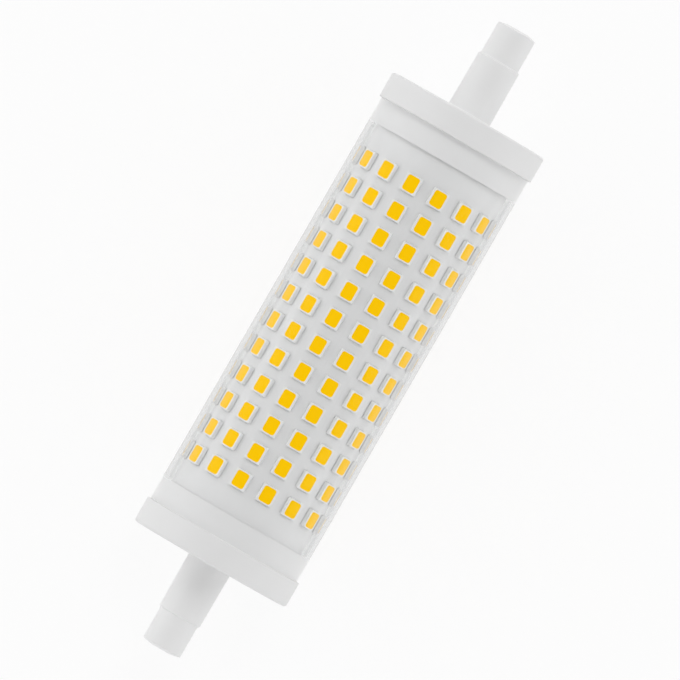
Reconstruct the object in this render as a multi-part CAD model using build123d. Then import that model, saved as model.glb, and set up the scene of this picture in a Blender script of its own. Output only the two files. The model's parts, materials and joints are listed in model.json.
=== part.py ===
from build123d import *
import os
from math import atan2, degrees, sqrt, tan

# Double-ended linear LED bulb. Millimetres. The bulb's axis lies along X, Z is up,
# and the origin is at the bulb's centre. Both ends are alike, so most end pieces are
# modelled on the right (+X) and mirrored.

# Whole bulb
bulb_length = 118.0           # over the lips of the two contact recesses
contact_depth = 1.9           # from a lip to the contact's face: 114.2 between the two faces

# End caps
rim_proud = 0.45              # the rim stands this far above the clear tube, on the radius
rim_length = 4.55
rim_edge_r = 0.5              # rounding of the rim's outer corner
rim_step_r = 0.12             # small rounding where the rim meets the tube
sleeve_length = 4.25          # part of the cap inside the clear tube
cap_end_wall = 1.6
core_stop = 1.2               # ledge between the end wall and the end of the core
core_stop_width = 1.3

# Contact stems, each moulded in one piece with its cap
stem_length = 10.15
stem_d = 7.76                 # at its root
stem_taper = 0.08             # from the root to the step, on the radius
root_r = 0.35                 # hollow rounding where the stem leaves the cap
tip_length = 6.1
tip_step = 0.30               # step down from the stem to its tip, on the radius
step_chamfer = 0.25
tip_dome_r = 13.0
tip_edge_r = 0.15
recess_d = 3.6
lead_bore_d = 2.2
lead_funnel_d = 4.4           # mouth that guides the lead into the bore
lead_funnel_depth = 1.5

# Contacts
button_t = 0.8
button_dome = 0.12
button_ledge = 0.25           # step in from the recess to the contact's own pocket
button_sink = 0.05            # the contact's face below that step
shank_d = 2.5
shank_length = 2.8

# Clear tube
cover_d = 27.9
cover_wall = 0.8

# Core, liner and the wrapped board
core_wall = 1.5
board_t = 0.2
board_seam = 0.5              # slit where the wrapped board's two edges meet, at -Z
board_end_gap = 2.7           # bare aluminium beyond each end of the board
liner_wall = 0.7
rail_depth = 1.5
rail_t = 0.8

# LEDs
ring_count = 12
ring_end_gap = 3.35           # bare board between each cap and the first ring's share of it
leds_per_ring = 16
led_length = 3.2              # along the bulb
led_width = 2.85
led_height = 0.63
window_length = 2.67
window_width = 2.10
window_depth = 0.3
fill_drop = 0.03              # the fill's face below the housing's rim
solder_t = 0.02
led_gap = 0.12                # corners of the LED housings to the clear tube

# Named clearances
cover_gap = 0.05              # clear tube to each cap's rim
sleeve_fit = 0.08             # cap sleeve in the clear tube, on the radius
core_fit = 0.08               # wrapped board in the cap sleeve, on the radius
core_gap = 0.05               # end of the core to its ledge
liner_fit = 0.1               # liner in the core, on the radius
button_fit = 0.05             # contact in its pocket, on the radius
seat_gap = 0.02               # parts resting on a board or a face
rail_fit = 0.05               # driver board between its rails
bore_fit = 0.1                # crimp shank in its bore, on the radius

# Driver board. The parts on top of it stand in one row, with the same gap between them,
# and the bulk capacitor is as long as the others leave room for
driver_t = 1.2
driver_z = -3.0               # underside of the driver board
part_gap = 1.0
pad_room = 3.0                # board left free at each end for the leads' pads
lead_room = 7.8               # from the board's ends to the caps' end walls, for the leads
fuse_d = 3.2
fuse_length = 8.5
varistor_d = 7.0
varistor_t = 3.4
film_size = (4.6, 10.2, 8.2)
film_edge_r = 0.5
choke_d = 8.0
choke_height = 8.4
choke_core_d = 4.0
choke_flange_t = 1.2
bulk_d = 10.0
can_groove = 0.35             # beading near the open end of a capacitor's can
can_bead_x = 2.2
can_edge_r = 0.6
ferrite_length = 10.0
ferrite_width = 9.8
ferrite_wall = 1.7
ferrite_leg = 2.55            # the middle leg's thickness along the bulb
ferrite_top_gap = 1.47        # its upper corners to the liner, straight up
bobbin_t = 0.6
winding_inset = 0.2           # the winding's face below the flanges' edges
output_d = 8.0
output_length = 8.6

# Parts under the driver board
bridge_size = (4.7, 3.9, 2.4)
bridge_leg_count = 2          # on each side
bridge_leg_pitch = 2.54
chip_size = (4.9, 3.9, 1.5)
chip_leg_count = 4
chip_leg_pitch = 1.27
diode_size = (4.3, 2.6, 2.1)
diode_leg_count = 1
package_lift = 0.1            # moulded body above the soldered face of its legs
leg_t = 0.25
leg_width = 0.42
leg_reach = 1.0
small_chip = (2.0, 1.25, 0.55)
small_chip_pitch = 2.4
small_chip_count = 3          # beside each of the larger parts

# Leads
mains_lead_d = 1.3
mains_core_d = 0.7            # bare conductor in the crimp
mains_lead_rise = 4.2         # distance in which it rises to the axis
led_lead_d = 0.75
led_lead_y = 1.8
led_slot_w = 7.0              # slot that the LED leads pass through
pad_reach = 1.4               # how far the LED leads lie over the wrapped board
led_lead_inner_r = 3.0        # the turn inside the liner
led_lead_outer_r = 1.0        # the turn back onto the wrapped board

cut_over = 1.0                # cutting shapes run this far past what they cut

# Worked out from the sizes above
half = bulb_length / 2
step_x = half - tip_length                       # stem's step down to the tip
cap_face_x = step_x - stem_length
rim_x = cap_face_x - rim_length                  # where the clear tube ends
sleeve_x = rim_x - sleeve_length                 # end of the open window
wall_x = cap_face_x - cap_end_wall               # inner face of the cap's end wall
ledge_x = wall_x - core_stop
core_half = ledge_x - core_gap
board_half = core_half - board_end_gap
ring_pitch = 2 * (sleeve_x - ring_end_gap) / ring_count
cover_r = cover_d / 2
cover_ri = cover_r - cover_wall
rim_r = cover_r + rim_proud
sleeve_r = cover_ri - sleeve_fit
led_top_r = sqrt((cover_ri - led_gap) ** 2 - (led_width / 2) ** 2)   # housings' tops
board_r = led_top_r - led_height - solder_t
core_r = board_r - board_t
core_ri = core_r - core_wall
socket_r = board_r + core_fit
liner_r = core_ri - liner_fit
liner_ri = liner_r - liner_wall
liner_half = wall_x - core_gap
contact_x = half - contact_depth
button_seat_x = contact_x - button_t
shank_x = button_seat_x - shank_length
driver_top = driver_z + driver_t
driver_half_w = sqrt(liner_ri ** 2 - driver_z ** 2) - rail_fit
slot_x = board_half + seat_gap                   # start of the notches for the LED leads
top_seat = driver_top + seat_gap
under_seat = driver_z - seat_gap
ferrite_height = sqrt(liner_ri ** 2 - (ferrite_width / 2) ** 2) - top_seat - ferrite_top_gap
driver_half = wall_x - lead_room
row = {"fuse": fuse_length, "film": film_size[0], "choke": choke_d, "bulk": 0.0,
       "inductor": ferrite_length, "output": output_length}
row_room = 2 * (driver_half - pad_room) - part_gap * (len(row) - 1)
row["bulk"] = row_room - sum(row.values())
place = {}
row_x = -driver_half + pad_room
for part_name, part_length in row.items():
    place[part_name] = row_x + part_length / 2
    row_x += part_length + part_gap

os.makedirs("parts", exist_ok=True)
solid_total = 0


def save(name, *solids):
    """Write one node, which may be a group of separate solids."""
    global solid_total
    solid_total += len(solids)
    shape = solids[0] if len(solids) == 1 else Compound(children=list(solids))
    export_step(shape, "parts/" + name + ".step")


def turned(points):
    """A solid of revolution about X from a closed outline of (x, radius) points."""
    outline = make_face(Polyline(*points, close=True))
    return revolve(outline, axis=Axis.X, revolution_arc=360)


def pipe_x(r_out, r_in, x0, x1):
    return turned([(x0, r_in), (x1, r_in), (x1, r_out), (x0, r_out)])


def rod_x(r, x0, x1, y=0.0, z=0.0):
    return Pos((x0 + x1) / 2, y, z) * Rot(0, 90, 0) * Cylinder(r, x1 - x0)


def block(size, x, y, z_low):
    """A box by its size, its centre in plan and the height of its underside."""
    return Pos(x, y, z_low + size[2] / 2) * Box(*size)


def mirrored(shape):
    return mirror(shape, about=Plane.YZ)


def rounded_ring(solid, x, radius, size):
    """Round the circular edges that lie at one place along the axis with one radius."""
    ring = [e for e in solid.edges().filter_by(GeomType.CIRCLE)
            if abs(e.center().X - x) < 1e-3 and abs(e.radius - radius) < 1e-3]
    return fillet(ring, size)


def lead_slot(x0, x1, r0, r1):
    """The space that the two LED leads pass through, on the underside of the core."""
    return Pos((x0 + x1) / 2, 0, -(r0 + r1) / 2) * Box(x1 - x0, led_slot_w, r1 - r0)


def end_cap(with_lead_slot):
    """The sleeve, the rim, the end wall, and the stem with its domed tip and contact recess."""
    root = stem_d / 2
    step_r = root - stem_taper
    tip_r = step_r - tip_step
    recess_r = recess_d / 2
    ledge_r = socket_r - core_stop_width
    bore_r = lead_bore_d / 2
    funnel_r = lead_funnel_d / 2
    shank_bore_r = shank_d / 2 + bore_fit
    pocket_r = recess_r - button_ledge
    dome_centre = half - sqrt(tip_dome_r ** 2 - recess_r ** 2)
    edge_x = dome_centre + sqrt(tip_dome_r ** 2 - tip_r ** 2)
    mid_r = (recess_r + tip_r) / 2
    mid_x = dome_centre + sqrt(tip_dome_r ** 2 - mid_r ** 2)
    pocket_x = contact_x + button_sink
    hollow = [(half, recess_r), (pocket_x, recess_r), (pocket_x, pocket_r),
              (button_seat_x, pocket_r), (button_seat_x, shank_bore_r),
              (shank_x, shank_bore_r), (shank_x, bore_r),
              (wall_x + lead_funnel_depth, bore_r), (wall_x, funnel_r),
              (wall_x, ledge_r), (ledge_x, ledge_r), (ledge_x, socket_r), (sleeve_x, socket_r)]
    skin = [(sleeve_x, sleeve_r), (rim_x, sleeve_r), (rim_x, rim_r), (cap_face_x, rim_r),
            (cap_face_x, root), (step_x - step_chamfer, step_r),
            (step_x, step_r - step_chamfer), (step_x, tip_r), (edge_x, tip_r)]
    profile = Curve() + Polyline(*hollow, *skin)
    profile += ThreePointArc((edge_x, tip_r), (mid_x, mid_r), (half, recess_r))
    cap = revolve(make_face(profile), axis=Axis.X, revolution_arc=360)
    cap = rounded_ring(cap, cap_face_x, rim_r, rim_edge_r)
    cap = rounded_ring(cap, rim_x, rim_r, rim_step_r)
    cap = rounded_ring(cap, cap_face_x, root, root_r)
    cap = rounded_ring(cap, edge_x, tip_r, tip_edge_r)
    if with_lead_slot:
        slot_start = board_half - pad_reach - led_lead_d / 2
        cap -= lead_slot(slot_start, wall_x, liner_r, board_r + led_lead_d + 2 * core_fit)
    return cap


def contact_button():
    """Contact with a slightly crowned face and a hollow shank, crimped on the conductor."""
    r = recess_d / 2 - button_ledge - button_fit
    rim_x0 = contact_x - button_dome
    wire_r = mains_core_d / 2
    wire_x = button_seat_x - seat_gap
    profile = Curve() + Polyline((contact_x, 0), (wire_x, 0), (wire_x, wire_r), (shank_x, wire_r),
                                 (shank_x, shank_d / 2), (button_seat_x, shank_d / 2),
                                 (button_seat_x, r), (rim_x0, r))
    crown = (r ** 2 + button_dome ** 2) / (2 * button_dome)
    mid_r = r / 2
    mid_x = contact_x - crown + sqrt(crown ** 2 - mid_r ** 2)
    profile += ThreePointArc((rim_x0, r), (mid_x, mid_r), (contact_x, 0))
    return revolve(make_face(profile), axis=Axis.X, revolution_arc=360)


def core_tube():
    tube = pipe_x(core_r, core_ri, -core_half, core_half)
    return tube - lead_slot(slot_x, core_half + cut_over, liner_ri, core_r + cut_over)


def led_board():
    wrap = pipe_x(board_r, core_r, -board_half, board_half)
    slit = Pos(0, 0, -board_r) * Box(2 * board_half + cut_over, board_seam, 2 * board_t + cut_over)
    return wrap - slit


def insulating_liner():
    """Plain liner tube with two pairs of rails, which hold the driver board's long edges."""
    liner = pipe_x(liner_r, liner_ri, -liner_half, liner_half)
    bore = rod_x(liner_ri + liner_wall / 2, -driver_half, driver_half)
    rail = None
    for side in (-1, 1):
        for z_low in (driver_z - rail_fit - rail_t, driver_top + rail_fit):
            rail_w = liner_r
            y = side * (driver_half_w - rail_depth + rail_w / 2)
            bar = block((2 * driver_half, rail_w, rail_t), 0, y, z_low)
            rail = bar if rail is None else rail + bar
    liner += rail & bore
    return liner - lead_slot(slot_x, liner_half + cut_over, liner_ri - rail_depth, liner_r + cut_over)


def led_places():
    """Angles of the LEDs in a ring, counted from straight up, half a step either side of it."""
    step = 360 / leds_per_ring
    return [(k + 0.5) * step for k in range(leds_per_ring)]


def led_pair(x, angle):
    """One LED: a housing with a square window sunk into its top, and the fill in that window."""
    turn = Rot(angle, 0, 0)
    base = board_r + solder_t
    top = base + led_height
    body = block((led_length, led_width, led_height), x, 0, base)
    floor_z = top - window_depth
    body -= block((window_length, window_width, window_depth + cut_over), x, 0, floor_z)
    fill = block((window_length, window_width, window_depth - fill_drop), x, 0, floor_z)
    return turn * body, turn * fill


def gull_legs(size, x, count, pitch):
    """Straight gull-wing legs along both long sides of a package under the board."""
    legs = []
    for side in (-1, 1):
        foot_y = side * (size[1] / 2 + leg_reach / 2 - leg_t)
        knee_y = side * (size[1] / 2 + leg_t / 2)
        for k in range(count):
            leg_x = x + (k - (count - 1) / 2) * pitch
            legs.append(block((leg_width, leg_reach, leg_t), leg_x, foot_y, under_seat - leg_t))
            legs.append(block((leg_width, leg_t, size[2] / 2), leg_x, knee_y, under_seat - size[2] / 2))
    return legs


def hung_package(size, x, leg_count, leg_pitch=0.0):
    """A moulded package with gull-wing legs, soldered to the underside of the driver board."""
    body = block((size[0], size[1], size[2] - package_lift), x, 0, under_seat - size[2])
    for leg in gull_legs(size, x, leg_count, leg_pitch):
        body += leg
    return body


def small_chips_beside(size, x):
    """A line of small chip parts across the board, just past a larger package."""
    chip_x = x + size[0] / 2 + part_gap + small_chip[0] / 2
    rows = [(k - (small_chip_count - 1) / 2) * small_chip_pitch for k in range(small_chip_count)]
    return [block(small_chip, chip_x, y, under_seat - small_chip[2]) for y in rows]


def can(d, length, x):
    """A lying electrolytic capacitor: a beaded can with a rounded closed end."""
    z = top_seat + d / 2
    body = rod_x(d / 2, x - length / 2, x + length / 2, z=z)
    closed_end = body.edges().filter_by(GeomType.CIRCLE).sort_by(Axis.X)[-1]
    body = fillet([closed_end], can_edge_r)
    bead_x = x - length / 2 + can_bead_x
    outer = rod_x(d / 2 + cut_over, bead_x - can_groove, bead_x + can_groove, z=z)
    inner = rod_x(d / 2 - can_groove, bead_x - cut_over, bead_x + cut_over, z=z)
    return body - (outer - inner)


def drum_choke():
    """A ferrite bobbin standing on the board, and the winding between its two flanges."""
    middle = Pos(place["choke"], 0, top_seat + choke_height / 2)
    core = middle * Cylinder(choke_core_d / 2, choke_height)
    for side in (-1, 1):
        lift = side * (choke_height - choke_flange_t) / 2
        core += middle * Pos(0, 0, lift) * Cylinder(choke_d / 2, choke_flange_t)
    wind_h = choke_height - 2 * choke_flange_t - 2 * seat_gap
    wind = middle * Cylinder(choke_d / 2 - winding_inset, wind_h)
    wind -= middle * Cylinder(choke_core_d / 2 + seat_gap, wind_h + cut_over)
    return core, wind


def power_inductor():
    """Ferrite frame with a middle leg, the bobbin on that leg, and the winding between its flanges."""
    middle = Pos(place["inductor"], 0, top_seat + ferrite_height / 2)
    window_x = ferrite_length - 2 * ferrite_wall
    window_z = ferrite_height - 2 * ferrite_wall
    leg_y = ferrite_width / 2
    frame = middle * Box(ferrite_length, leg_y, ferrite_height)
    frame -= middle * Box(window_x, leg_y + cut_over, window_z)
    frame += middle * Box(ferrite_leg, leg_y, ferrite_height)
    bore_x = ferrite_leg + 2 * seat_gap
    bore_y = leg_y + 2 * seat_gap
    tube_x = bore_x + 2 * bobbin_t
    tube_y = bore_y + 2 * bobbin_t
    tube_h = window_z - 2 * seat_gap
    flange_x = window_x - 2 * seat_gap
    bobbin = middle * Box(tube_x, tube_y, tube_h)
    for side in (-1, 1):
        lift = side * (tube_h - bobbin_t) / 2
        bobbin += middle * Pos(0, 0, lift) * Box(flange_x, ferrite_width, bobbin_t)
    bobbin -= middle * Box(bore_x, bore_y, tube_h + cut_over)
    wind_h = tube_h - 2 * bobbin_t - 2 * seat_gap
    wind = middle * Box(flange_x - 2 * winding_inset, ferrite_width - 2 * winding_inset, wind_h)
    wind = fillet(wind.edges().filter_by(Axis.Z), (flange_x - tube_x) / 4)
    wind -= middle * Box(tube_x + 2 * seat_gap, tube_y + 2 * seat_gap, wind_h + cut_over)
    return frame, bobbin, wind


def swept(path, d):
    """A round lead along a path of runs and tangent arcs."""
    section = Plane(origin=path @ 0, z_dir=path % 0) * Circle(d / 2)
    return sweep(section, path=path)


def mains_lead():
    """From a pad near the end of the driver board, up to the axis and along the stem's bore."""
    pad_z = top_seat + mains_lead_d / 2
    start = driver_half - pad_room + part_gap / 2
    leave = driver_half + part_gap
    join = leave + mains_lead_rise
    end = shank_x - seat_gap
    turn = atan2(abs(pad_z), join - leave)
    radius = 0.45 * (leave - start) / tan(turn / 2)
    print("mains lead arcs: radius %.2f mm at %.1f degrees" % (radius, degrees(turn)))
    path = FilletPolyline((start, 0, pad_z), (leave, 0, pad_z), (join, 0, 0), (end, 0, 0), radius=radius)
    lead = swept(path, mains_lead_d)
    bare = rod_x(mains_core_d / 2 - seat_gap, end - cut_over, button_seat_x - 2 * seat_gap)
    return lead + bare


def led_lead(y):
    """From the driver board's underside, out through the notches and back onto the board."""
    z0 = under_seat - led_lead_d / 2
    z1 = -sqrt((board_r + seat_gap + led_lead_d / 2) ** 2 - y ** 2)
    out_x = slot_x + led_lead_outer_r
    turns = (led_lead_inner_r, led_lead_outer_r)
    path = FilletPolyline((driver_half - pad_room, y, z0), (out_x, y, z0), (out_x, y, z1),
                          (board_half - pad_reach, y, z1), radius=turns)
    print("LED lead arcs: radius %.2f and %.2f mm" % turns)
    return swept(path, led_lead_d)


# Outer pieces
save("clear_cover", pipe_x(cover_r, cover_ri, -(rim_x - cover_gap), rim_x - cover_gap))
save("end_cap_right", end_cap(True))
save("end_cap_left", mirrored(end_cap(False)))
button = contact_button()
save("contact_button_right", button)
save("contact_button_left", mirrored(button))

# Core, board and LEDs
save("core_tube", core_tube())
save("led_board", led_board())
save("insulating_liner", insulating_liner())
for ring in range(ring_count):
    ring_x = (ring - (ring_count - 1) / 2) * ring_pitch
    pairs = [led_pair(ring_x, angle) for angle in led_places()]
    save("led_ring_%02d" % (ring + 1), *[housing for housing, fill in pairs])
    save("phosphor_ring_%02d" % (ring + 1), *[fill for housing, fill in pairs])

# Driver board
save("driver_board", block((2 * driver_half, 2 * driver_half_w, driver_t), 0, 0, driver_z))

# Parts on top of the driver board
varistor_y = -varistor_d / 4
varistor_x0 = place["fuse"] + fuse_length / 2 - varistor_t
varistor_z = top_seat + varistor_d / 2
save("surge_varistor", rod_x(varistor_d / 2, varistor_x0, varistor_x0 + varistor_t, varistor_y, varistor_z))
fuse_y = varistor_y + varistor_d / 2 + part_gap + fuse_d / 2
fuse_x0 = place["fuse"] - fuse_length / 2
save("fusible_resistor", rod_x(fuse_d / 2, fuse_x0, fuse_x0 + fuse_length, fuse_y, top_seat + fuse_d / 2))
film = block(film_size, place["film"], 0, top_seat)
save("film_capacitor", fillet(film.edges().filter_by(Axis.Z), film_edge_r))
choke_core, choke_winding = drum_choke()
save("choke_core", choke_core)
save("choke_winding", choke_winding)
save("bulk_capacitor", can(bulk_d, row["bulk"], place["bulk"]))
ferrite, bobbin, winding = power_inductor()
save("inductor_core", ferrite)
save("inductor_bobbin", bobbin)
save("inductor_winding", winding)
save("output_capacitor", can(output_d, output_length, place["output"]))

# Parts under the driver board
save("bridge_rectifier", hung_package(bridge_size, place["film"], bridge_leg_count, bridge_leg_pitch))
save("control_chip", hung_package(chip_size, place["bulk"], chip_leg_count, chip_leg_pitch))
save("freewheel_diode", hung_package(diode_size, place["inductor"], diode_leg_count))
chips = small_chips_beside(bridge_size, place["film"])
chips += small_chips_beside(chip_size, place["bulk"])
chips += small_chips_beside(diode_size, place["inductor"])
save("chip_parts", *chips)

# Leads
lead = mains_lead()
save("mains_lead_right", lead)
save("mains_lead_left", mirrored(lead))
save("led_lead_plus", led_lead(led_lead_y))
save("led_lead_minus", led_lead(-led_lead_y))

print("bulb %.1f mm long, tube %.2f mm, window %.2f mm, %d LEDs, %d solids"
      % (bulb_length, cover_d, 2 * sleeve_x, ring_count * leds_per_ring, solid_total))
print("wrapped board %.3f mm, ring pitch %.2f mm, bulk capacitor %.2f mm long, inductor %.2f mm high"
      % (2 * board_r, ring_pitch, row["bulk"], ferrite_height))
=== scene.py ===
# %% [markdown]
# # A double-ended linear LED bulb
# The bulb is a clear plastic tube over rings of small LEDs, which sit on a white board wrapped round
# an aluminium core. A white cap with a contact stem closes each end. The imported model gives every
# piece its size and place, and this lesson gives them their surfaces, the light and the camera.

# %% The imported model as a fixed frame
import json
from math import cos, pi, radians, sin, sqrt
from types import SimpleNamespace

import bmesh
import bpy
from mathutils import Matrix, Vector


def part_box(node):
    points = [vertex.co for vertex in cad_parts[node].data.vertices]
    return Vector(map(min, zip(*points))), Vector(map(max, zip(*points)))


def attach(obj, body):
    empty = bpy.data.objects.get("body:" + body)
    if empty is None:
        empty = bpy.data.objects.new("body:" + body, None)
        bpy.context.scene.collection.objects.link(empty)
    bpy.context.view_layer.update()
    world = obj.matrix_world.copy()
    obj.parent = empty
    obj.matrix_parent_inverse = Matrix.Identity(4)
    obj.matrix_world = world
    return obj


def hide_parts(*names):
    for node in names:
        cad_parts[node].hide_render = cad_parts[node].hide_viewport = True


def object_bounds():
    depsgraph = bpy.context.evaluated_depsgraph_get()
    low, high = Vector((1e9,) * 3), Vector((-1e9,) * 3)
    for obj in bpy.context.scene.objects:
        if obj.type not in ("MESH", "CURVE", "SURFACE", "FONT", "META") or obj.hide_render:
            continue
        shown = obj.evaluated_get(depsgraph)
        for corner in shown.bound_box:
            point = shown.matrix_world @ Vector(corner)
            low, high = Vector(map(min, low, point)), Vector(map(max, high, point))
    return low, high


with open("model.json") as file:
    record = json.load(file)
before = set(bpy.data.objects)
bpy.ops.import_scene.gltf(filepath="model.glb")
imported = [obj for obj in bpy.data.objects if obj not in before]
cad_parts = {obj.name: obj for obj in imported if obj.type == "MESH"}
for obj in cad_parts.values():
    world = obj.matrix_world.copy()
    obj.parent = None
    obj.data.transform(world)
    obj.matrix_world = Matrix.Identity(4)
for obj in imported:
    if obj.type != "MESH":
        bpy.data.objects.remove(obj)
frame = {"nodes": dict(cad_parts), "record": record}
cad_low, cad_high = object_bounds()
MM = 0.001
tube_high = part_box("clear_cover")[1]
tube_r = tube_high.y
tube_wall = 0.8 * MM
bore_r = tube_r - tube_wall
window_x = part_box("end_cap_right")[0].x   # half of the open window between the caps' sleeves
print("CAD box in mm:", [round(v / MM, 2) for v in (*cad_low, *cad_high)])

# %% [markdown]
# ## A small language for nodes
# A finish is a short formula, such as a base colour plus a little noise, and formulas read best as
# plain expressions. `Value` wraps one output socket, and adding or multiplying two values adds the
# Math node. `Nodes.add` makes every other node, from its type, its settings and its inputs.

# %% Values


class Value:
    """One output socket. Arithmetic on values adds Math nodes to their tree."""

    def __init__(self, nodes, socket):
        self.nodes, self.socket = nodes, socket

    def math(self, operation, *others):
        """A Math node of this value and up to two others."""
        inputs = dict(enumerate((self, *others)))
        return self.nodes.add("ShaderNodeMath", {"operation": operation}, inputs)

    def output(self, name):
        """Another output of the node that this value comes from."""
        return Value(self.nodes, self.socket.node.outputs[name])

    def __add__(self, other):
        return self.math("ADD", other)

    def __sub__(self, other):
        return self.math("SUBTRACT", other)

    def __mul__(self, other):
        return self.math("MULTIPLY", other)

    def __truediv__(self, other):
        return self.math("DIVIDE", other)

    def __pow__(self, other):
        return self.math("POWER", other)

    def __rsub__(self, other):
        return self.nodes.add("ShaderNodeMath", {"operation": "SUBTRACT"}, {0: other, 1: self})

    def __rtruediv__(self, other):
        return self.nodes.add("ShaderNodeMath", {"operation": "DIVIDE"}, {0: other, 1: self})

    __radd__ = __add__
    __rmul__ = __mul__


print("values do arithmetic")

# %% Nodes


class Nodes:
    """A node tree, with one method that adds any node to it."""

    def __init__(self, tree):
        self.tree = tree

    def link(self, value, socket):
        """Lead a value to a socket, or set the socket to a plain number, colour or name."""
        if isinstance(value, Value):
            self.tree.links.new(value.socket, socket)
        else:
            socket.default_value = value

    def add(self, kind, settings=None, inputs=None, output=0):
        """Any node: its settings come first, then its inputs. Gives one of its outputs."""
        node = self.tree.nodes.new(kind)
        for name, setting in (settings or {}).items():
            if name == "stops":
                set_stops(node.color_ramp, setting)
            else:
                setattr(node, name, setting)
        for name, value in (inputs or {}).items():
            self.link(value, node.inputs[name])
        return Value(self, node.outputs[output])


def set_stops(ramp, stops):
    """Give a colour ramp its (place, grey or colour) stops."""
    while len(ramp.elements) < len(stops):
        ramp.elements.new(1.0)
    for element, (place, shade) in zip(ramp.elements, stops):
        element.position = place
        element.color = (*shade, 1.0) if isinstance(shade, tuple) else (shade, shade, shade, 1.0)


print("node helpers ready")

# %% [markdown]
# ## Patterns on Object coordinates
# Every piece keeps its place in its mesh, so Object coordinates are metres along the bulb (X) and
# across it. A radius or an angle about the bulb's axis comes from Y and Z, and needs no unwrapping.

# %% Helpers for patterns


def object_point(n):
    """The point itself, as one vector."""
    return n.add("ShaderNodeTexCoord", output="Object")


def split(n, vector):
    """A vector's three numbers, as .x, .y and .z."""
    parts = n.add("ShaderNodeSeparateXYZ", inputs={0: vector})
    return SimpleNamespace(x=parts, y=parts.output("Y"), z=parts.output("Z"))


def place(n):
    """Where a point of the piece is, as .x, .y and .z in metres."""
    return split(n, object_point(n))


def noise(n, size, detail=3.0, stretch=(1.0, 1.0, 1.0)):
    """Soft noise from 0 to 1 whose blotches are about `size` metres across."""
    scale = tuple(s / size for s in stretch)
    moved = n.add("ShaderNodeMapping", inputs={"Vector": object_point(n), "Scale": scale})
    return n.add("ShaderNodeTexNoise", inputs={"Vector": moved, "Scale": 1.0, "Detail": detail})


def remap(n, value, low, high, to_low, to_high):
    """Move a number from one range to another, and hold it there."""
    settings = {"clamp": True, "interpolation_type": "SMOOTHSTEP"}
    inputs = {0: value, 1: low, 2: high, 3: to_low, 4: to_high}
    return n.add("ShaderNodeMapRange", settings, inputs)


def between(n, grain, low, high):
    """A number that follows a noise from low to high. Most of a noise lies from 0.3 to 0.7."""
    return remap(n, grain, 0.3, 0.7, low, high)


def blend_colours(n, factor, a, b):
    """Mix two colours, each given as RGB numbers or as a value."""
    def rgba(c):
        return c if isinstance(c, Value) else (*c, 1.0)
    return n.add("ShaderNodeMix", {"data_type": "RGBA"}, {0: factor, 6: rgba(a), 7: rgba(b)}, 2)


def bump(n, height, depth):
    """A normal from a height of 0 to 1 that stands for `depth` metres."""
    return n.add("ShaderNodeBump", inputs={"Height": height, "Distance": depth, "Strength": 1.0})


print("pattern helpers ready")

# %% A material from a finish


def finish_of(name, varying, **uniform):
    """A material. Its plain numbers sit on the shader itself, and `varying` gives what changes."""
    material = bpy.data.materials.new(name)
    material.use_nodes = True
    n = Nodes(material.node_tree)
    shader = material.node_tree.nodes["Principled BSDF"]
    for socket, value in uniform.items():
        shader.inputs[socket.replace("_", " ")].default_value = value
    for socket, value in varying(n).items():
        n.link(value, shader.inputs[socket])
    return material


print("finish_of makes each material")

# %% [markdown]
# ## White moulded plastic
# The caps are injection moulded in one opaque white. From a step away they look plain, but a real
# moulding has a faint cloudiness and a fine matt grain from the mould. Both come from noise: a large
# soft one moves the colour by a few hundredths, and a small one gives the grain as bump. The stems and
# the sleeves near the rims are painted paler than the rest. This is painted light: it makes the thin
# stems look lit through, and it lifts the shade that each rim's step casts on its sleeve.

# %% White plastic
hair = 0.05 * MM                          # how wide a finish's sharp border is
stem_light_full_r, stem_light_gone_r = 4.5 * MM, 6 * MM   # radii between which the stem's painted light fades
stem_light_share, sleeve_light_share = 0.8, 0.2       # shares of painted light in the stem, and in a sleeve at the window end


def axis_distance(n):
    """How far a point lies from the bulb's axis."""
    point = place(n)
    return (point.y * point.y + point.z * point.z) ** 0.5


def white_plastic(n):
    """Matt white, with painted light: paler in the stems and in the sleeves near the rims."""
    cloud = noise(n, 9 * MM, 2.0)
    grain = noise(n, 0.12 * MM, 2.0)
    along = place(n).x.math("ABSOLUTE")
    under_tube = remap(n, along, tube_high.x, tube_high.x + hair, 1.0, 0.0)
    in_bore = remap(n, axis_distance(n), bore_r, tube_r, 1.0, 0.0)
    sleeve_painted_light = remap(n, along, window_x, tube_high.x, sleeve_light_share, 1.0)
    stem_painted_light = remap(n, axis_distance(n), stem_light_full_r, stem_light_gone_r, stem_light_share, 0.0)
    # Painted light: the stems, and the sleeves more towards the rims, take the paler white.
    painted_light_mask = (under_tube * in_bore * sleeve_painted_light).math("MAXIMUM", stem_painted_light)
    base_white = blend_colours(n, cloud, (0.79, 0.79, 0.79), (0.83, 0.83, 0.83))
    painted_light_white = blend_colours(n, cloud, (0.84, 0.84, 0.84), (0.88, 0.88, 0.88))
    return {
        "Base Color": blend_colours(n, painted_light_mask, base_white, painted_light_white),
        "Roughness": between(n, noise(n, 3 * MM), 0.42, 0.54),
        "Normal": bump(n, grain, 0.004 * MM),
    }


materials = {"white_plastic": finish_of("white_plastic", white_plastic)}
print("made", *materials)

# %% [markdown]
# ## The wrapped board's white mask
# The LEDs' board is a thin sheet with a white solder mask. Under the mask lie wide copper areas, one
# for each contact of each LED, and the mask dips along the narrow gaps between them. The angle
# and the place along the bulb are counted in LEDs and in rings, and a gap lies at each whole number,
# so the pattern stays in step with the LEDs.

# %% White board
ring_low, ring_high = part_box("led_ring_01")
ring_count = sum(name.startswith("led_ring_") for name in frame["nodes"])
last_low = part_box("led_ring_%02d" % ring_count)[0]
ring_pitch = (last_low.x - ring_low.x) / (ring_count - 1)
leds_per_ring = 16
gap_beside, gap_between = 0.035, 0.03     # half widths, in shares of an LED's place and of a ring
gap_grey = 0.08                           # how far the mask goes to grey in a gap
print(ring_count, "rings, pitch in mm", round(ring_pitch / MM, 3))


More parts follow.
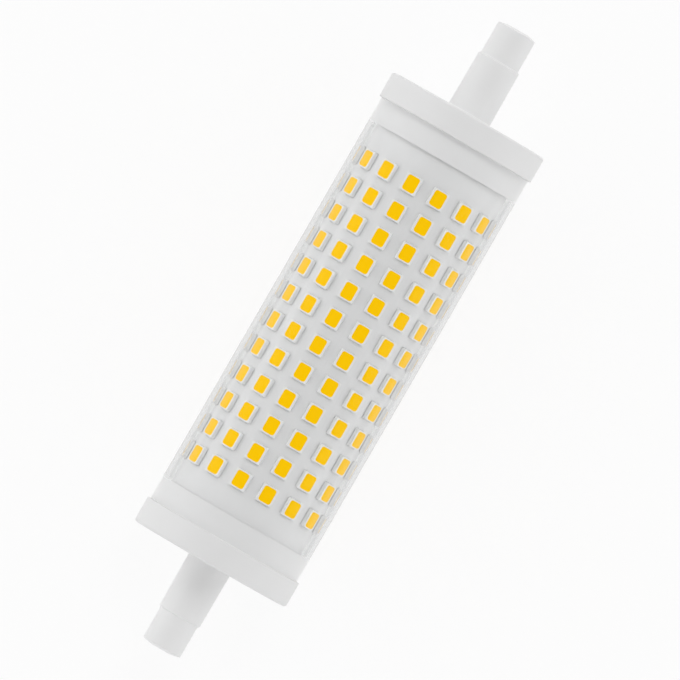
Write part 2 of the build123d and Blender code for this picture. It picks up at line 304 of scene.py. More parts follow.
def turn_share(n):
    """How far round the bulb a point lies, counted in LEDs."""
    point = place(n)
    return point.y.math("ARCTAN2", point.z) * (leds_per_ring / (2 * pi))


def ring_share(n):
    """How far along the bulb a point lies, counted in rings."""
    return place(n).x / ring_pitch + ring_count / 2


def groove(value, half_width):
    """1 in a narrow band about each whole number, soft at its sides, and 0 elsewhere."""
    away = value.math("PINGPONG", 0.5)
    return remap(value.nodes, away, half_width * 0.4, half_width, 1.0, 0.0)


def white_board(n):
    """White mask over copper, with gaps beside the LEDs and between their rings."""
    beside = groove(turn_share(n), gap_beside)
    gaps = beside.math("MAXIMUM", groove(ring_share(n), gap_between))
    cloud = noise(n, 5 * MM, 3.0)
    tone = blend_colours(n, cloud, (0.80, 0.80, 0.80), (0.85, 0.85, 0.85))
    return {
        "Base Color": blend_colours(n, gaps * gap_grey, tone, (0.66, 0.665, 0.66)),
        "Roughness": between(n, noise(n, 1.5 * MM), 0.34, 0.48),
        "Normal": bump(n, 1.0 - gaps + noise(n, 0.3 * MM) * 0.5, 0.003 * MM),
    }


materials["white_board"] = finish_of("white_board", white_board)
print("the board's mask is made")

# %% [markdown]
# ## The LEDs' housing, fill and solder
# An LED of this kind is a white moulded tub with a yellow fill. The fill is silicone with phosphor
# grains in it, slightly grainy when seen close, and it glows a little in any daylight, because the
# phosphor turns blue light yellow. A faint emission stands for that glow. The tub stands on two small
# solder joints of dull silver.

# %% LED finishes


def housing_white(n):
    speck = noise(n, 0.5 * MM, 2.0)
    return {
        "Base Color": blend_colours(n, speck, (0.86, 0.86, 0.85), (0.90, 0.90, 0.895)),
        "Roughness": between(n, speck, 0.45, 0.6),
        "Normal": bump(n, noise(n, 0.06 * MM, 1.0), 0.004 * MM),
    }


def phosphor_yellow(n):
    grains = noise(n, 0.09 * MM, 2.0)
    tone = blend_colours(n, grains, (0.86, 0.49, 0.001), (0.92, 0.55, 0.002))
    return {
        "Base Color": tone,
        "Emission Color": tone,
        "Roughness": between(n, grains, 0.28, 0.42),
        "Normal": bump(n, noise(n, 0.4 * MM, 1.0), 0.01 * MM),
    }


def solder_grey(n):
    skin = noise(n, 0.15 * MM)
    return {
        "Base Color": blend_colours(n, skin, (0.74, 0.75, 0.76), (0.86, 0.87, 0.88)),
        "Roughness": between(n, skin, 0.45, 0.6),
        "Normal": bump(n, skin, 0.01 * MM),
    }


materials["led_housing"] = finish_of("led_housing", housing_white)
materials["phosphor"] = finish_of("phosphor", phosphor_yellow, Specular_IOR_Level=0.02,
                                  Emission_Strength=0.25)
materials["solder"] = finish_of("solder", solder_grey, Metallic=1.0)
print(len(materials), "finishes so far")

# %% [markdown]
# ## Clear tube plastic
# The tube is clear acrylic, extruded and polished by the die. Real refraction matters here: it makes
# the outer LEDs look further out and brings a yellow sliver of the hidden ones to the tube's edge.
# So the material is a true transmitting one, with faint die lines along the tube as bump. Where the
# wall is seen edge on, Layer Weight's Facing paints its colour greyer. This is painted shade, which
# stands for the darker surroundings that the edge-on wall shows. Light that only passes the tube on
# its way to the board would have to find it through the refraction, which leaves the board dark and
# grainy, so for shadow and diffuse rays the wall is a plain see-through one.

# %% Clear plastic
acrylic_ior = 1.5
edge_shade_start, edge_shade_full = 0.42, 0.68          # Facing, where the painted edge shade begins and is full
straight_through = 0.98                   # share of the daylight that passes


def clear_plastic(n):
    """Clear, with faint die lines, and painted shade: grey where the wall is seen edge on."""
    die_lines = noise(n, 0.8 * MM, 2.0, stretch=(0.02, 1.0, 1.0))
    edge = n.add("ShaderNodeLayerWeight", inputs={"Blend": 0.5}, output="Facing")
    along = place(n).x.math("ABSOLUTE")
    in_window = remap(n, along, window_x - 2 * hair, window_x, 1.0, 0.0)
    # Painted shade: the colour turns grey where the wall is seen edge on, within the window.
    painted_edge_shade = remap(n, edge, edge_shade_start, edge_shade_full, 0.0, 1.0) * in_window
    return {
        "Base Color": blend_colours(n, painted_edge_shade, (0.99, 0.995, 0.995), (0.63, 0.635, 0.635)),
        "Roughness": between(n, noise(n, 6 * MM), 0.0, 0.012),
        "Normal": bump(n, die_lines, 0.00006 * MM),
    }


def let_daylight_in(material):
    """Light on its way to what lies under the surface passes straight, only a little dimmed."""
    n = Nodes(material.node_tree)
    path = n.add("ShaderNodeLightPath", output="Is Shadow Ray")
    daylight = path.math("MAXIMUM", path.output("Is Diffuse Ray"))
    clear = (straight_through, straight_through, straight_through, 1.0)
    straight = n.add("ShaderNodeBsdfTransparent", inputs={"Color": clear})
    plastic = Value(n, material.node_tree.nodes["Principled BSDF"].outputs[0])
    n.link(n.add("ShaderNodeMixShader", inputs={0: daylight, 1: plastic, 2: straight}),
           material.node_tree.nodes["Material Output"].inputs["Surface"])


materials["clear_plastic"] = finish_of(
    "clear_plastic", clear_plastic, IOR=acrylic_ior, Transmission_Weight=1.0,
    Specular_Tint=(0.05, 0.05, 0.05, 1.0))
let_daylight_in(materials["clear_plastic"])
print("clear plastic, refractive index", acrylic_ior)

# %% [markdown]
# ## Metals
# Two metals: the drawn aluminium core and the contacts' nickel plate. Drawn metal has fine lines from
# its die, so its noise is stretched along the bulb. The plate's grain is the same in all directions.

# %% Metals
line_width, line_depth = 0.25 * MM, 0.003 * MM
line_dulls = 0.14                         # how much rougher the paler lines are
drawn_along, even = (0.05, 1, 1), (1, 1, 1)


def drawn_metal(pale, dark, rough, stretch):
    """A bare metal with fine lines, stretched along the bulb or even all over."""
    def varying(n):
        lines = noise(n, line_width, 3.0, stretch)
        return {
            "Base Color": blend_colours(n, lines, dark, pale),
            "Roughness": remap(n, lines, 0.25, 0.75, rough, rough + line_dulls),
            "Normal": bump(n, lines, line_depth),
        }
    return varying


aluminium = drawn_metal((0.80, 0.80, 0.81), (0.66, 0.66, 0.67), 0.3, drawn_along)
nickel = drawn_metal((0.78, 0.75, 0.68), (0.66, 0.63, 0.57), 0.2, even)
materials["aluminium"] = finish_of("aluminium", aluminium, Metallic=1.0)
materials["contact_metal"] = finish_of("contact_metal", nickel, Metallic=1.0)
print("two metals")

# %% [markdown]
# ## The parts inside the core
# Nobody sees the driver board in use, but whoever opens the bulb does. Each of these gets a finish
# with its own grain: a dipped coating is wavy, ferrite is sintered and matt, moulded black resin is
# fine and even. The board shows its weave under green mask, and its copper tracks as paler, raised
# lines, which run along it in some regions and across it in others.

# %% Inner finishes
weave_pitch = 0.45 * MM
track_pitch = 1.27 * MM
track_half = 0.16                         # half of a track's width, in shares of the pitch
weave_height = 0.1                        # against a track's height
grain_dulls = 0.12                        # how much rougher the paler grain is


def grained(dark, pale, size, rough, depth):
    """A dull or glossy skin with two close tones and a bump of one grain size."""
    def varying(n):
        grain = noise(n, size)
        return {
            "Base Color": blend_colours(n, grain, dark, pale),
            "Roughness": between(n, grain, rough, rough + grain_dulls),
            "Normal": bump(n, grain, depth),
        }
    return varying


def green_board(n):
    """Green mask over a weave, with tracks along the board here and across it there."""
    point = place(n)
    warp = (point.x * (2 * pi / weave_pitch)).math("SINE")
    weft = (point.y * (2 * pi / weave_pitch)).math("SINE")
    weave = warp * weft * 0.5 + 0.5
    region = remap(n, noise(n, 6 * MM, 1.0), 0.49, 0.51, 0.0, 1.0)
    lengthways = groove(point.y / track_pitch, track_half) * region
    crossways = groove(point.x / track_pitch, track_half) * (1.0 - region)
    tracks = lengthways.math("MAXIMUM", crossways)
    tone = blend_colours(n, weave, (0.02, 0.17, 0.06), (0.03, 0.21, 0.08))
    return {
        "Base Color": blend_colours(n, tracks, tone, (0.05, 0.30, 0.12)),
        "Roughness": remap(n, weave, 0.0, 1.0, 0.3, 0.36),
        "Normal": bump(n, tracks + weave * weave_height, 0.03 * MM),
    }


inner = {                # dark tone, pale tone, grain size, roughness and depth of the grain
    "liner_plastic": grained((0.74, 0.73, 0.69), (0.80, 0.79, 0.76), 1.2 * MM, 0.4, 0.01 * MM),
    "varistor_blue": grained((0.01, 0.06, 0.26), (0.02, 0.10, 0.36), 1.5 * MM, 0.2, 0.1 * MM),
    "resistor_green": grained((0.05, 0.13, 0.08), (0.09, 0.19, 0.12), 0.6 * MM, 0.5, 0.04 * MM),
    "film_yellow": grained((0.62, 0.38, 0.02), (0.74, 0.47, 0.04), 2.0 * MM, 0.25, 0.02 * MM),
    "ferrite": grained((0.012, 0.012, 0.013), (0.03, 0.03, 0.032), 0.2 * MM, 0.5, 0.02 * MM),
    "copper": grained((0.42, 0.13, 0.04), (0.58, 0.21, 0.07), 0.3 * MM, 0.22, 0.004 * MM),
    "black_plastic": grained((0.012,) * 3, (0.022,) * 3, 0.15 * MM, 0.45, 0.01 * MM),
    "chip_ceramic": grained((0.10, 0.07, 0.045), (0.17, 0.12, 0.08), 0.4 * MM, 0.4, 0.01 * MM),
    "white_lead": grained((0.72, 0.72, 0.71), (0.80, 0.80, 0.79), 1.0 * MM, 0.35, 0.01 * MM),
    "red_lead": grained((0.42, 0.01, 0.01), (0.52, 0.02, 0.015), 1.0 * MM, 0.35, 0.01 * MM),
    "black_lead": grained((0.012, 0.012, 0.013), (0.025, 0.025, 0.026), 1.0 * MM, 0.35, 0.01 * MM),
    "green_board": green_board,
}
for name, varying in inner.items():
    materials[name] = finish_of(name, varying, Metallic=1.0 if name == "copper" else 0.0)
print(len(materials), "finishes")

# %% [markdown]
# ## The two capacitors
# A lying electrolytic capacitor is an aluminium can in a shrunk plastic sleeve. The sleeve leaves the
# middle of each end bare, has a pale band along its minus side, and the open end is shut with a black
# rubber bung. Its closed end is scored with a cross, so that it can vent. All of that follows from how
# far a point is from the can's own axis and ends, so one finish draws it on either can.

# %% Sleeved cans
sleeve_lip = 0.9 * MM                     # how far the sleeve folds over each end
score_width = 0.12 * MM
bung_share, score_share, band_share = 0.63, 0.575, 0.85   # of the can's radius


def sleeved_can(name):
    """The finish of one can, which depends on where it lies."""
    low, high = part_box(name)
    middle, radius = (low + high) / 2, (high.z - low.z) / 2

    def varying(n):
        point = place(n)
        across, up = point.y - middle.y, point.z - middle.z
        from_axis = (across * across + up * up) ** 0.5

        def within(share, blur):
            """1 nearer to the can's axis than a share of its radius."""
            return remap(n, from_axis, (share - blur) * radius, (share + blur) * radius, 1.0, 0.0)

        open_end = remap(n, point.x, low.x, low.x + hair, 1.0, 0.0)
        closed_end = remap(n, point.x, high.x - hair, high.x, 0.0, 1.0)
        lip_r = radius - sleeve_lip
        bare = remap(n, from_axis, lip_r, lip_r + 2 * hair, 1.0, 0.0)
        bung = open_end * within(bung_share, blur=0.01)
        near_cross = across.math("ABSOLUTE").math("MINIMUM", up.math("ABSOLUTE"))
        score = closed_end * remap(n, near_cross, score_width / 2, score_width, 1.0, 0.0)
        score = score * within(score_share, blur=0.025)
        band_from, band_full = (band_share - 0.01) * radius, (band_share + 0.01) * radius
        band = remap(n, across, band_from, band_full, 0.0, 1.0)
        grain = noise(n, 0.25 * MM)
        sleeve = blend_colours(n, band, (0.022, 0.027, 0.05), (0.42, 0.43, 0.45))
        metal = blend_colours(n, grain, (0.62, 0.63, 0.65), (0.74, 0.75, 0.77))
        can = blend_colours(n, bare, sleeve, metal)
        return {
            "Base Color": blend_colours(n, bung, can, (0.02, 0.02, 0.02)),
            "Metallic": bare * (1.0 - bung),
            "Roughness": remap(n, grain, 0.25, 0.75, 0.26, 0.4),
            "Normal": bump(n, grain * 0.1 - score, 0.08 * MM),
        }
    return varying


cans = ("bulk_capacitor", "output_capacitor")
sleeved = {name: finish_of(name, sleeved_can(name)) for name in cans}
print("sleeves on", *sleeved)

# %% [markdown]
# ## Dressing the CAD nodes
# The record names a material slot for each node, and the finishes above have the slots' names, so a
# loop can dress the whole model. The two cans share one slot, but each has a finish of its own.

# %% Every CAD node takes the finish of its slot
slots = {part["node"]: part["material_slot"] for part in frame["record"]["subparts"]}
for name, node in frame["nodes"].items():
    node.data.materials.clear()
    node.data.materials.append(sleeved[name] if name in sleeved else materials[slots[name]])
print(len(slots), "nodes dressed")

# %% [markdown]
# ## Turned pieces
# The tube is a turned shape: an outline of places along the axis and radii, carried round in a
# circle. Blender's Screw modifier could do it, but a short mesh function closes the ring exactly and
# keeps the object at the origin, unturned.

# %% Functions for finished meshes and turned pieces
AROUND = 384


def settle(name, mesh, smooth_angle=30.0):
    """An object for a finished mesh, in place, that rides on the bulb."""
    mesh.shade_smooth()
    mesh.set_sharp_from_angle(angle=radians(smooth_angle))
    piece = bpy.data.objects.new(name, mesh)
    bpy.context.scene.collection.objects.link(piece)
    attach(piece, "root")
    print(name, "has", len(mesh.polygons), "faces")
    return piece


def turned_mesh(name, outline):
    """A closed outline of (x, radius) points carried round the axis."""
    verts, faces = [], []
    for k in range(AROUND):
        a = 2 * pi * k / AROUND
        verts += [(x, r * sin(a), r * cos(a)) for x, r in outline]
    size = len(outline)
    for k in range(AROUND):
        here, there = k * size, (k + 1) % AROUND * size
        for i in range(size):
            j = (i + 1) % size
            faces.append((here + i, here + j, there + j, there + i))
    mesh = bpy.data.meshes.new(name)
    mesh.from_pydata(verts, [], faces)
    b = bmesh.new()
    b.from_mesh(mesh)
    bmesh.ops.recalc_face_normals(b, faces=b.faces)
    b.to_mesh(mesh)
    b.free()
    return mesh


print("a turned piece has", AROUND, "steps round the axis")

# %% [markdown]
# ## The clear tube
# The tube stands free of the LEDs, but its ends are bonded to the caps' sleeves. Bonded plastic has
# no air between, so no inner reflection: the white sleeve looks as wide as the tube itself. That is
# why the inner wall steps in to the sleeve near each end, a hair inside its surface. Many faces round
# the tube keep its edge free of facets, which refraction would show.

# %% The tube
bond = 0.09 * MM
tube_edge = 0.06 * MM
bond_r = bore_r - bond


def tube_half(side):
    """The outline's points on one side, from the bore's middle out to the wall's outer face."""
    end = side * tube_high.x
    step = side * window_x
    return [(step, bore_r), (step, bond_r), (end, bond_r), (end, tube_r - tube_edge),
            (end - side * tube_edge, tube_r)]


tube_mesh = turned_mesh("clear_tube", tube_half(1) + tube_half(-1)[::-1])
tube_mesh.materials.append(materials["clear_plastic"])
tube = settle("clear_tube", tube_mesh)
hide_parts("clear_cover")
print("tube", round(2 * tube_r / MM, 2), "mm, window", round(2 * window_x / MM, 2), "mm")

# %% [markdown]
# ## One LED
# All 192 LEDs are alike, so one is modelled and the rest are copies. The tub is a stack of rounded
# rectangles with the same number of points, joined by quads: foot, shoulder, rim, window and floor.
# That keeps it to a few dozen faces, which matters when there are hundreds.

# %% Rounded rectangles, stacked
led_length = ring_high.x - ring_low.x
led_width = 2.85 * MM
led_height = 0.63 * MM
window_length, window_width, window_depth = 2.76 * MM, 2.20 * MM, 0.3 * MM
CORNER_STEPS = 3


def rounded_rectangle(length, width, radius, z):
    """The points of a level rectangle with round corners."""
    points = []
    for quarter in range(4):
        cx = (length / 2 - radius) * (1 if quarter in (0, 3) else -1)
        cy = (width / 2 - radius) * (1 if quarter in (0, 1) else -1)
        for k in range(CORNER_STEPS + 1):
            a = pi / 2 * (quarter + k / CORNER_STEPS)
            points.append((cx + radius * cos(a), cy + radius * sin(a), z))
    return points


def stacked(loops):
    """A closed shape from a stack of loops: quads between them and a face at each end."""
    verts = [p for loop in loops for p in loop]
    size = len(loops[0])
    faces = [tuple(range(size)), tuple(range(len(verts) - size, len(verts)))]
    for level in range(len(loops) - 1):
        for i in range(size):
            a, b = level * size + i, level * size + (i + 1) % size
            faces.append((a, b, b + size, a + size))
    return verts, faces


def source_mesh(name, parts):
    """One mesh from several closed shapes, with its faces outward."""
    b = bmesh.new()
    for verts, faces in parts:
        made = [b.verts.new(v) for v in verts]
        for face in faces:
            b.faces.new([made[i] for i in face])
    bmesh.ops.recalc_face_normals(b, faces=b.faces)
    mesh = bpy.data.meshes.new(name)
    b.to_mesh(mesh)
    b.free()
    return bpy.data.objects.new(name, mesh)


print("one LED is", round(led_length / MM, 2), "by", round(led_width / MM, 2), "mm")

# %% The tub, its fill and its two solder joints
shoulder = 0.05 * MM
corner_r = 0.10 * MM
window_r = 0.42 * MM
window_slope = 0.03 * MM
fill_drop, fill_gap, fill_crown = 0.012 * MM, 0.004 * MM, 0.02 * MM
fill_step = 0.35 * MM

window_floor = rounded_rectangle(window_length - 2 * window_slope, window_width - 2 * window_slope,
                                 window_r - window_slope, led_height - window_depth)
tub = stacked([
    rounded_rectangle(led_length, led_width, corner_r, 0),
    rounded_rectangle(led_length, led_width, corner_r, led_height - shoulder),
    rounded_rectangle(led_length - 2 * shoulder, led_width - 2 * shoulder, corner_r, led_height),
    rounded_rectangle(window_length, window_width, window_r, led_height),
    window_floor,
])
fill_top = led_height - fill_drop
fill_length = window_length - 2 * fill_gap - window_slope / 2
fill_width = window_width - 2 * fill_gap - window_slope / 2
fill = stacked([
    window_floor,
    rounded_rectangle(fill_length, fill_width, window_r - fill_gap, fill_top),
    rounded_rectangle(fill_length - 2 * fill_step, fill_width - 2 * fill_step,
                      window_r / 2, fill_top + fill_crown),
])


def solder_joint(side):
    """A small fillet of solder at one end of the tub: a wedge with a sloping face."""
    reach, height, width = 0.08 * MM, 0.12 * MM, 2.2 * MM
    x0, x1 = side * (led_length / 2 - reach), side * (led_length / 2 + reach)
    ends = []
    for y in (-width / 2, width / 2):
        ends.append([(x0, y, 0), (x1, y, 0), (side * led_length / 2, y, height), (x0, y, height)])
    return stacked(ends)


sources = {
    "led_housings": source_mesh("tub_source", [tub]),
    "led_fills": source_mesh("fill_source", [fill]),
    "led_solder": source_mesh("solder_source", [solder_joint(-1), solder_joint(1)]),
}
print("faces in one LED:", {k: len(o.data.polygons) for k, o in sources.items()})

# %% [markdown]
# ## Twelve rings of sixteen
# Geometry Nodes place the copies. A line of points, one for each LED, is numbered; the whole part of
# number / 16 is the ring, and the rest is the place round it. Each copy is raised to the board's
# radius and turned about the axis. Array modifiers could do the same, but here the counts, the pitch
# and the radius stay named inputs.

# %% Building and running a tree


def new_tree(name, sizes):
    """A Geometry Nodes tree with named inputs. Returns its nodes and a lookup for those inputs."""
    tree = bpy.data.node_groups.new(name, "GeometryNodeTree")
    for label, kind in sizes.items():
        tree.interface.new_socket(label, in_out="INPUT", socket_type=kind)
    tree.interface.new_socket("Geometry", in_out="OUTPUT", socket_type="NodeSocketGeometry")
    n = Nodes(tree)
    group = tree.nodes.new("NodeGroupInput")
    return n, lambda label: Value(n, group.outputs[label])


def end_tree(n, geometry, material):
    """Real geometry instead of instances, with its finish, goes to the tree's output."""
    whole = n.add("GeometryNodeRealizeInstances", inputs={"Geometry": geometry})
    painted = n.add("GeometryNodeSetMaterial", inputs={"Geometry": whole, "Material": material})
    n.link(painted, n.tree.nodes.new("NodeGroupOutput").inputs[0])


def run_tree(name, n, sizes, smooth_angle=30.0):
    """Evaluate a tree on an empty mesh, and keep the result as a plain mesh that rides on the bulb."""
    maker = bpy.data.objects.new(name + "_maker", bpy.data.meshes.new(name + "_maker"))
    bpy.context.scene.collection.objects.link(maker)
    modifier = maker.modifiers.new("tree", "NODES")
    modifier.node_group = n.tree
    for item in n.tree.interface.items_tree:
        if item.in_out == "INPUT":
            modifier[item.identifier] = sizes[item.name]
    bpy.context.view_layer.update()
    evaluated = maker.evaluated_get(bpy.context.evaluated_depsgraph_get())
    mesh = bpy.data.meshes.new_from_object(evaluated)
    maker.modifiers.clear()
    bpy.data.objects.remove(maker)
    mesh.name = name
    return settle(name, mesh, smooth_angle)


print("a tree's result is kept as a plain mesh")

# %% A tree that sets copies round the bulb


def ring_tree(material):
    """Copies of one object, in rings of equal places round the bulb's axis."""
    n, size = new_tree("copies_round_the_bulb", {
        "Copy": "NodeSocketObject", "Rings": "NodeSocketInt", "Per Ring": "NodeSocketInt",
        "Pitch": "NodeSocketFloat", "Radius": "NodeSocketFloat"})
    count = size("Rings") * size("Per Ring")
    line = n.add("GeometryNodeMeshLine", inputs={"Count": count, "Offset": (0.0, 0.0, 0.0)})
    number = n.add("GeometryNodeInputIndex")
    ring = (number / size("Per Ring")).math("FLOOR")
    seat = number - ring * size("Per Ring")
    along = (ring - (size("Rings") - 1) / 2) * size("Pitch")
    angle = (seat + 0.5) * (2 * pi) / size("Per Ring")
    spot = n.add("ShaderNodeCombineXYZ", inputs={"X": along})
    points = n.add("GeometryNodeSetPosition", inputs={"Geometry": line, "Position": spot})
    lift = n.add("ShaderNodeCombineXYZ", inputs={"Z": size("Radius")})
    copy = n.add("GeometryNodeObjectInfo", inputs={"Object": size("Copy")}, output="Geometry")
    raised = n.add("GeometryNodeTransform", inputs={"Geometry": copy, "Translation": lift})
    turn = n.add("ShaderNodeCombineXYZ", inputs={"X": angle})
    copies = n.add("GeometryNodeInstanceOnPoints",
                   inputs={"Points": points, "Instance": raised, "Rotation": turn})
    end_tree(n, copies, material)
    return n


print("places for", ring_count * leds_per_ring, "LEDs")

# %% The LEDs
foot_gap = 0.02 * MM
seat_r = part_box("led_board")[1].y + foot_gap
led_slots = {"led_housings": "led_housing", "led_fills": "phosphor", "led_solder": "solder"}
for name, source in sources.items():
    sizes = {"Copy": source, "Rings": ring_count, "Per Ring": leds_per_ring,
             "Pitch": ring_pitch, "Radius": seat_r}
    piece = run_tree(name, ring_tree(materials[led_slots[name]]), sizes)
    if name == "led_housings":
        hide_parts(*["led_ring_%02d" % (k + 1) for k in range(ring_count)])
    elif name == "led_fills":
        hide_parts(*["phosphor_ring_%02d" % (k + 1) for k in range(ring_count)])
for source in sources.values():
    bpy.data.objects.remove(source)

# %% [markdown]
# ## Wound wire
# Two coils stand on the driver board: a round choke on its drum, and the power inductor, whose
# bobbin is oblong. The real ones show each turn of enamelled wire. One tree winds both. A line of
# points climbs round an outline that is an oblong with round corners: each point goes out to its
# corner's centre, by the sign of its sine and cosine, and then on by the corner's radius. When the
# corners are as large as the outline, it is a circle. The lower layers don't show, so they are a
# plain body just under the outer turns.

# %% The body under the turns


def outline_round(half_length, half_width, corner, steps):
    """Points of an oblong with round corners, as the tree below spaces them."""
    points = []
    for k in range(steps):
        a = 2 * pi * (k + 0.5) / steps
        x = (1 if cos(a) > 0 else -1) * (half_length - corner) + corner * cos(a)
        y = (1 if sin(a) > 0 else -1) * (half_width - corner) + corner * sin(a)
        points.append((x, y))
    return points


def hollow_body(name, outer, inner, centre, z_low, z_high):
    """A closed ring between two outlines of the same number of points."""
    loops = [(outer, z_low), (outer, z_high), (inner, z_high), (inner, z_low)]
    verts = [(centre.x + x, centre.y + y, z) for points, z in loops for x, y in points]
    size, faces = len(outer), []
    for level in range(len(loops)):
        below, above = level * size, (level + 1) % len(loops) * size
        for i in range(size):
            j = (i + 1) % size
            faces.append((below + i, below + j, above + j, above + i))
    return source_mesh(name, [(verts, faces)])


print("outline and body ready")

# %% A tree that winds wire
WIRE_SIDES = 8
TURN_STEPS = 32


def winding_tree(material):
    """One wire wound round a body, a turn above the other."""
    n, size = new_tree("wire_round_a_core", {
        "Body": "NodeSocketObject", "Turns": "NodeSocketInt", "Steps": "NodeSocketInt",
        "Reach": "NodeSocketVector", "Corner": "NodeSocketFloat", "Wire": "NodeSocketFloat",
        "Rise": "NodeSocketFloat", "Start": "NodeSocketVector"})
    count = size("Turns") * size("Steps") + 1
    line = n.add("GeometryNodeMeshLine", inputs={"Count": count, "Offset": (0.0, 0.0, 0.0)})
    number = n.add("GeometryNodeInputIndex")
    angle = (number + 0.5) * (2 * pi) / size("Steps")
    reach, corner = split(n, size("Reach")), size("Corner")
    cosine, sine = angle.math("COSINE"), angle.math("SINE")
    spot = n.add("ShaderNodeCombineXYZ", inputs={
        "X": cosine.math("SIGN") * (reach.x - corner) + cosine * corner,
        "Y": sine.math("SIGN") * (reach.y - corner) + sine * corner,
        "Z": number / (count - 1) * size("Rise")})
    placed = n.add("ShaderNodeVectorMath", {"operation": "ADD"}, {0: spot, 1: size("Start")})
    points = n.add("GeometryNodeSetPosition", inputs={"Geometry": line, "Position": placed})
    path = n.add("GeometryNodeMeshToCurve", inputs={"Mesh": points})
    section = n.add("GeometryNodeCurvePrimitiveCircle",
                    inputs={"Resolution": WIRE_SIDES, "Radius": size("Wire") / 2})
    wire = n.add("GeometryNodeCurveToMesh",
                 inputs={"Curve": path, "Profile Curve": section, "Fill Caps": True})
    body = n.add("GeometryNodeObjectInfo", inputs={"Object": size("Body")}, output="Geometry")
    both = n.add("GeometryNodeJoinGeometry", inputs={0: wire})
    n.link(body, both.socket.node.inputs[0])
    end_tree(n, both, material)
    return n


print("each turn has", TURN_STEPS, "steps")

# %% The two coils
wire_share = 0.97                         # of a turn's room, so that turns don't touch
body_inset = 0.62                         # of the wire, from the solid's side in to the body


def wind(name, solid, turns, corner, core_half):
    """Wind wire in the room of a solid, round a core of the given half sizes."""
    low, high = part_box(solid)
    middle = (low + high) / 2
    half_x, half_y, height = (high.x - low.x) / 2, (high.y - low.y) / 2, high.z - low.z
    wire = height / turns * wire_share
    under = body_inset * wire
    outer = outline_round(half_x - under, half_y - under, corner - under, TURN_STEPS)
    inner = outline_round(*core_half, TURN_STEPS)
    body = hollow_body(name + "_body", outer, inner, middle, low.z, high.z)
    sizes = {"Body": body, "Turns": turns - 1, "Steps": TURN_STEPS,
             "Reach": (half_x - wire / 2, half_y - wire / 2, 0.0), "Corner": corner - wire / 2,
             "Wire": wire, "Rise": height - wire, "Start": (middle.x, middle.y, low.z + wire / 2)}
    piece = run_tree(name, winding_tree(materials["copper"]), sizes, smooth_angle=60.0)
    bpy.data.objects.remove(body)
    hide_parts(solid)


drum = (2.02 * MM, 2.02 * MM, 2.02 * MM)      # half length, half width and corner
bobbin = (1.92 * MM, 3.09 * MM, 0.02 * MM)
wind("choke_turns", "choke_winding", turns=14, corner=3.8 * MM, core_half=drum)
wind("inductor_turns", "inductor_winding", turns=11, corner=0.6 * MM, core_half=bobbin)

# %% [markdown]
# ## Floor and light
# The bulb lies on a plain pale floor, in the even light of a white tent that is brightest low down
# and dark straight above, where the camera looks in. The tent is the world's own colour: a ramp from
# the horizon to the zenith, and soft lobes of extra light. The one from high over the right end puts
# the thin shadow at each LED's left side, one from each long side makes the bulb's flanks paler than
# its middle, and a faint one reaches the left stem. Small lamps would leave bright streaks on the
# clear tube, which the photograph doesn't show. The floor is mostly plain white wherever the camera,
# a gloss or the clear tube sees it, and the rest of it is paper that takes the bulb's shadow.

# %% The tent
tent_stops = [(0.0, 0.98), (0.4, 0.9), (0.7, 0.71), (0.88, 0.25), (1.0, 0.11)]   # height, grey
tent_lobes = [                        # toward, tightness and strength
    ((0.55, 0, 0.95), 60, 5.0),       # from high over the right end
    ((-1, 0, 0), 5, 0.25),            # from beyond the left stem
    ((0, 1, 0.25), 3, 0.5),           # from one long side
    ((0, -1, 0.25), 3, 0.33),         # and from the other
]

world = bpy.data.worlds.new("tent")
bpy.context.scene.world = world
world.use_nodes = True
tent = Nodes(world.node_tree)
toward = tent.add("ShaderNodeTexCoord", output="Generated")
light = tent.add("ShaderNodeValToRGB", {"stops": tent_stops}, {0: split(tent, toward).z})


def lobe(direction, tightness, amount):
    """Extra light from one direction, falling off smoothly."""
    size = sqrt(sum(d * d for d in direction))
    along = tent.add("ShaderNodeVectorMath", {"operation": "DOT_PRODUCT"},
                     {0: toward, 1: tuple(d / size for d in direction)}, "Value")
    return along.math("MAXIMUM", 0.0) ** tightness * amount


for direction, tightness, amount in tent_lobes:
    light = light + lobe(direction, tightness, amount)
tent.link(light, world.node_tree.nodes["Background"].inputs["Color"])
print("a tent with", len(tent_lobes), "lobes of light")

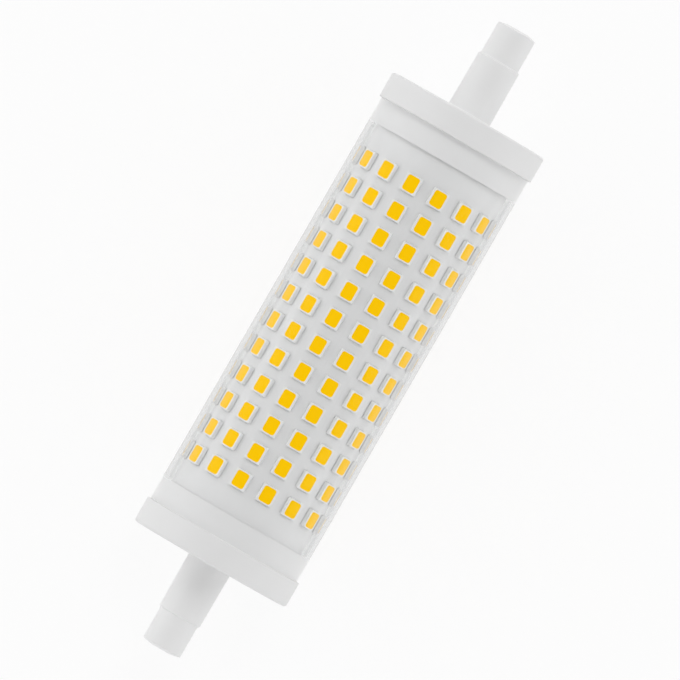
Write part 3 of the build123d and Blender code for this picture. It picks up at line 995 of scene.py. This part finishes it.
# %% The floor
floor_half = 3.0             # metres, far beyond the camera's view
floor_z = cad_low.z
floor_white = 0.96
own_white = 0.88             # how much of a seen floor is plain white, where the rest takes shadow
floor_mesh = bpy.data.meshes.new("floor")
corners = [(-floor_half, -floor_half), (floor_half, -floor_half),
           (floor_half, floor_half), (-floor_half, floor_half)]
floor_mesh.from_pydata([(x, y, floor_z) for x, y in corners], [], [(0, 1, 2, 3)])
floor = bpy.data.objects.new("floor", floor_mesh)
bpy.context.scene.collection.objects.link(floor)

paper = bpy.data.materials.new("floor_paper")
paper.use_nodes = True
n = Nodes(paper.node_tree)
paper.node_tree.nodes.clear()
path = n.add("ShaderNodeLightPath")
seen = path.math("MAXIMUM", path.output("Is Glossy Ray")).math(
    "MAXIMUM", path.output("Is Transmission Ray"))
floor_colour = (floor_white, floor_white, floor_white, 1.0)
diffuse = n.add("ShaderNodeBsdfDiffuse", inputs={"Color": floor_colour})
white = n.add("ShaderNodeEmission", inputs={"Color": (1.0, 1.0, 1.0, 1.0), "Strength": 1.0})
shown = n.add("ShaderNodeMixShader", inputs={0: seen * own_white, 1: diffuse, 2: white})
surface = paper.node_tree.nodes.new("ShaderNodeOutputMaterial")
n.link(shown, surface.inputs["Surface"])
floor_mesh.materials.append(paper)
print("floor at", round(floor_z / MM, 2), "mm")

# %% [markdown]
# ## Camera
# The photograph looks straight down on the bulb, which points to the upper right at 60 degrees. Its
# two ends measure the same, so it was taken from far away: a long lens from three metres.

# %% The camera
photo_side = 680
photo_scale = 6.057          # pixels for each millimetre
photo_turn = 60.0            # degrees from the image's horizontal to the bulb's axis
axis_off = -0.14 * MM        # the image's centre from the bulb's axis, across it
frame_width = photo_side / photo_scale * MM
camera_data = bpy.data.cameras.new("camera")
camera_data.lens = 1000.0        # millimetres
camera_data.clip_end = 20.0      # metres
camera = bpy.data.objects.new("camera", camera_data)
bpy.context.scene.collection.objects.link(camera)
bpy.context.scene.camera = camera
reach = frame_width * camera_data.lens / camera_data.sensor_width
camera.location = (0.0, axis_off, reach)
camera.rotation_euler = (0.0, 0.0, -radians(photo_turn))
bpy.context.scene.view_settings.view_transform = "Standard"
print("camera at", round(reach, 3), "m")
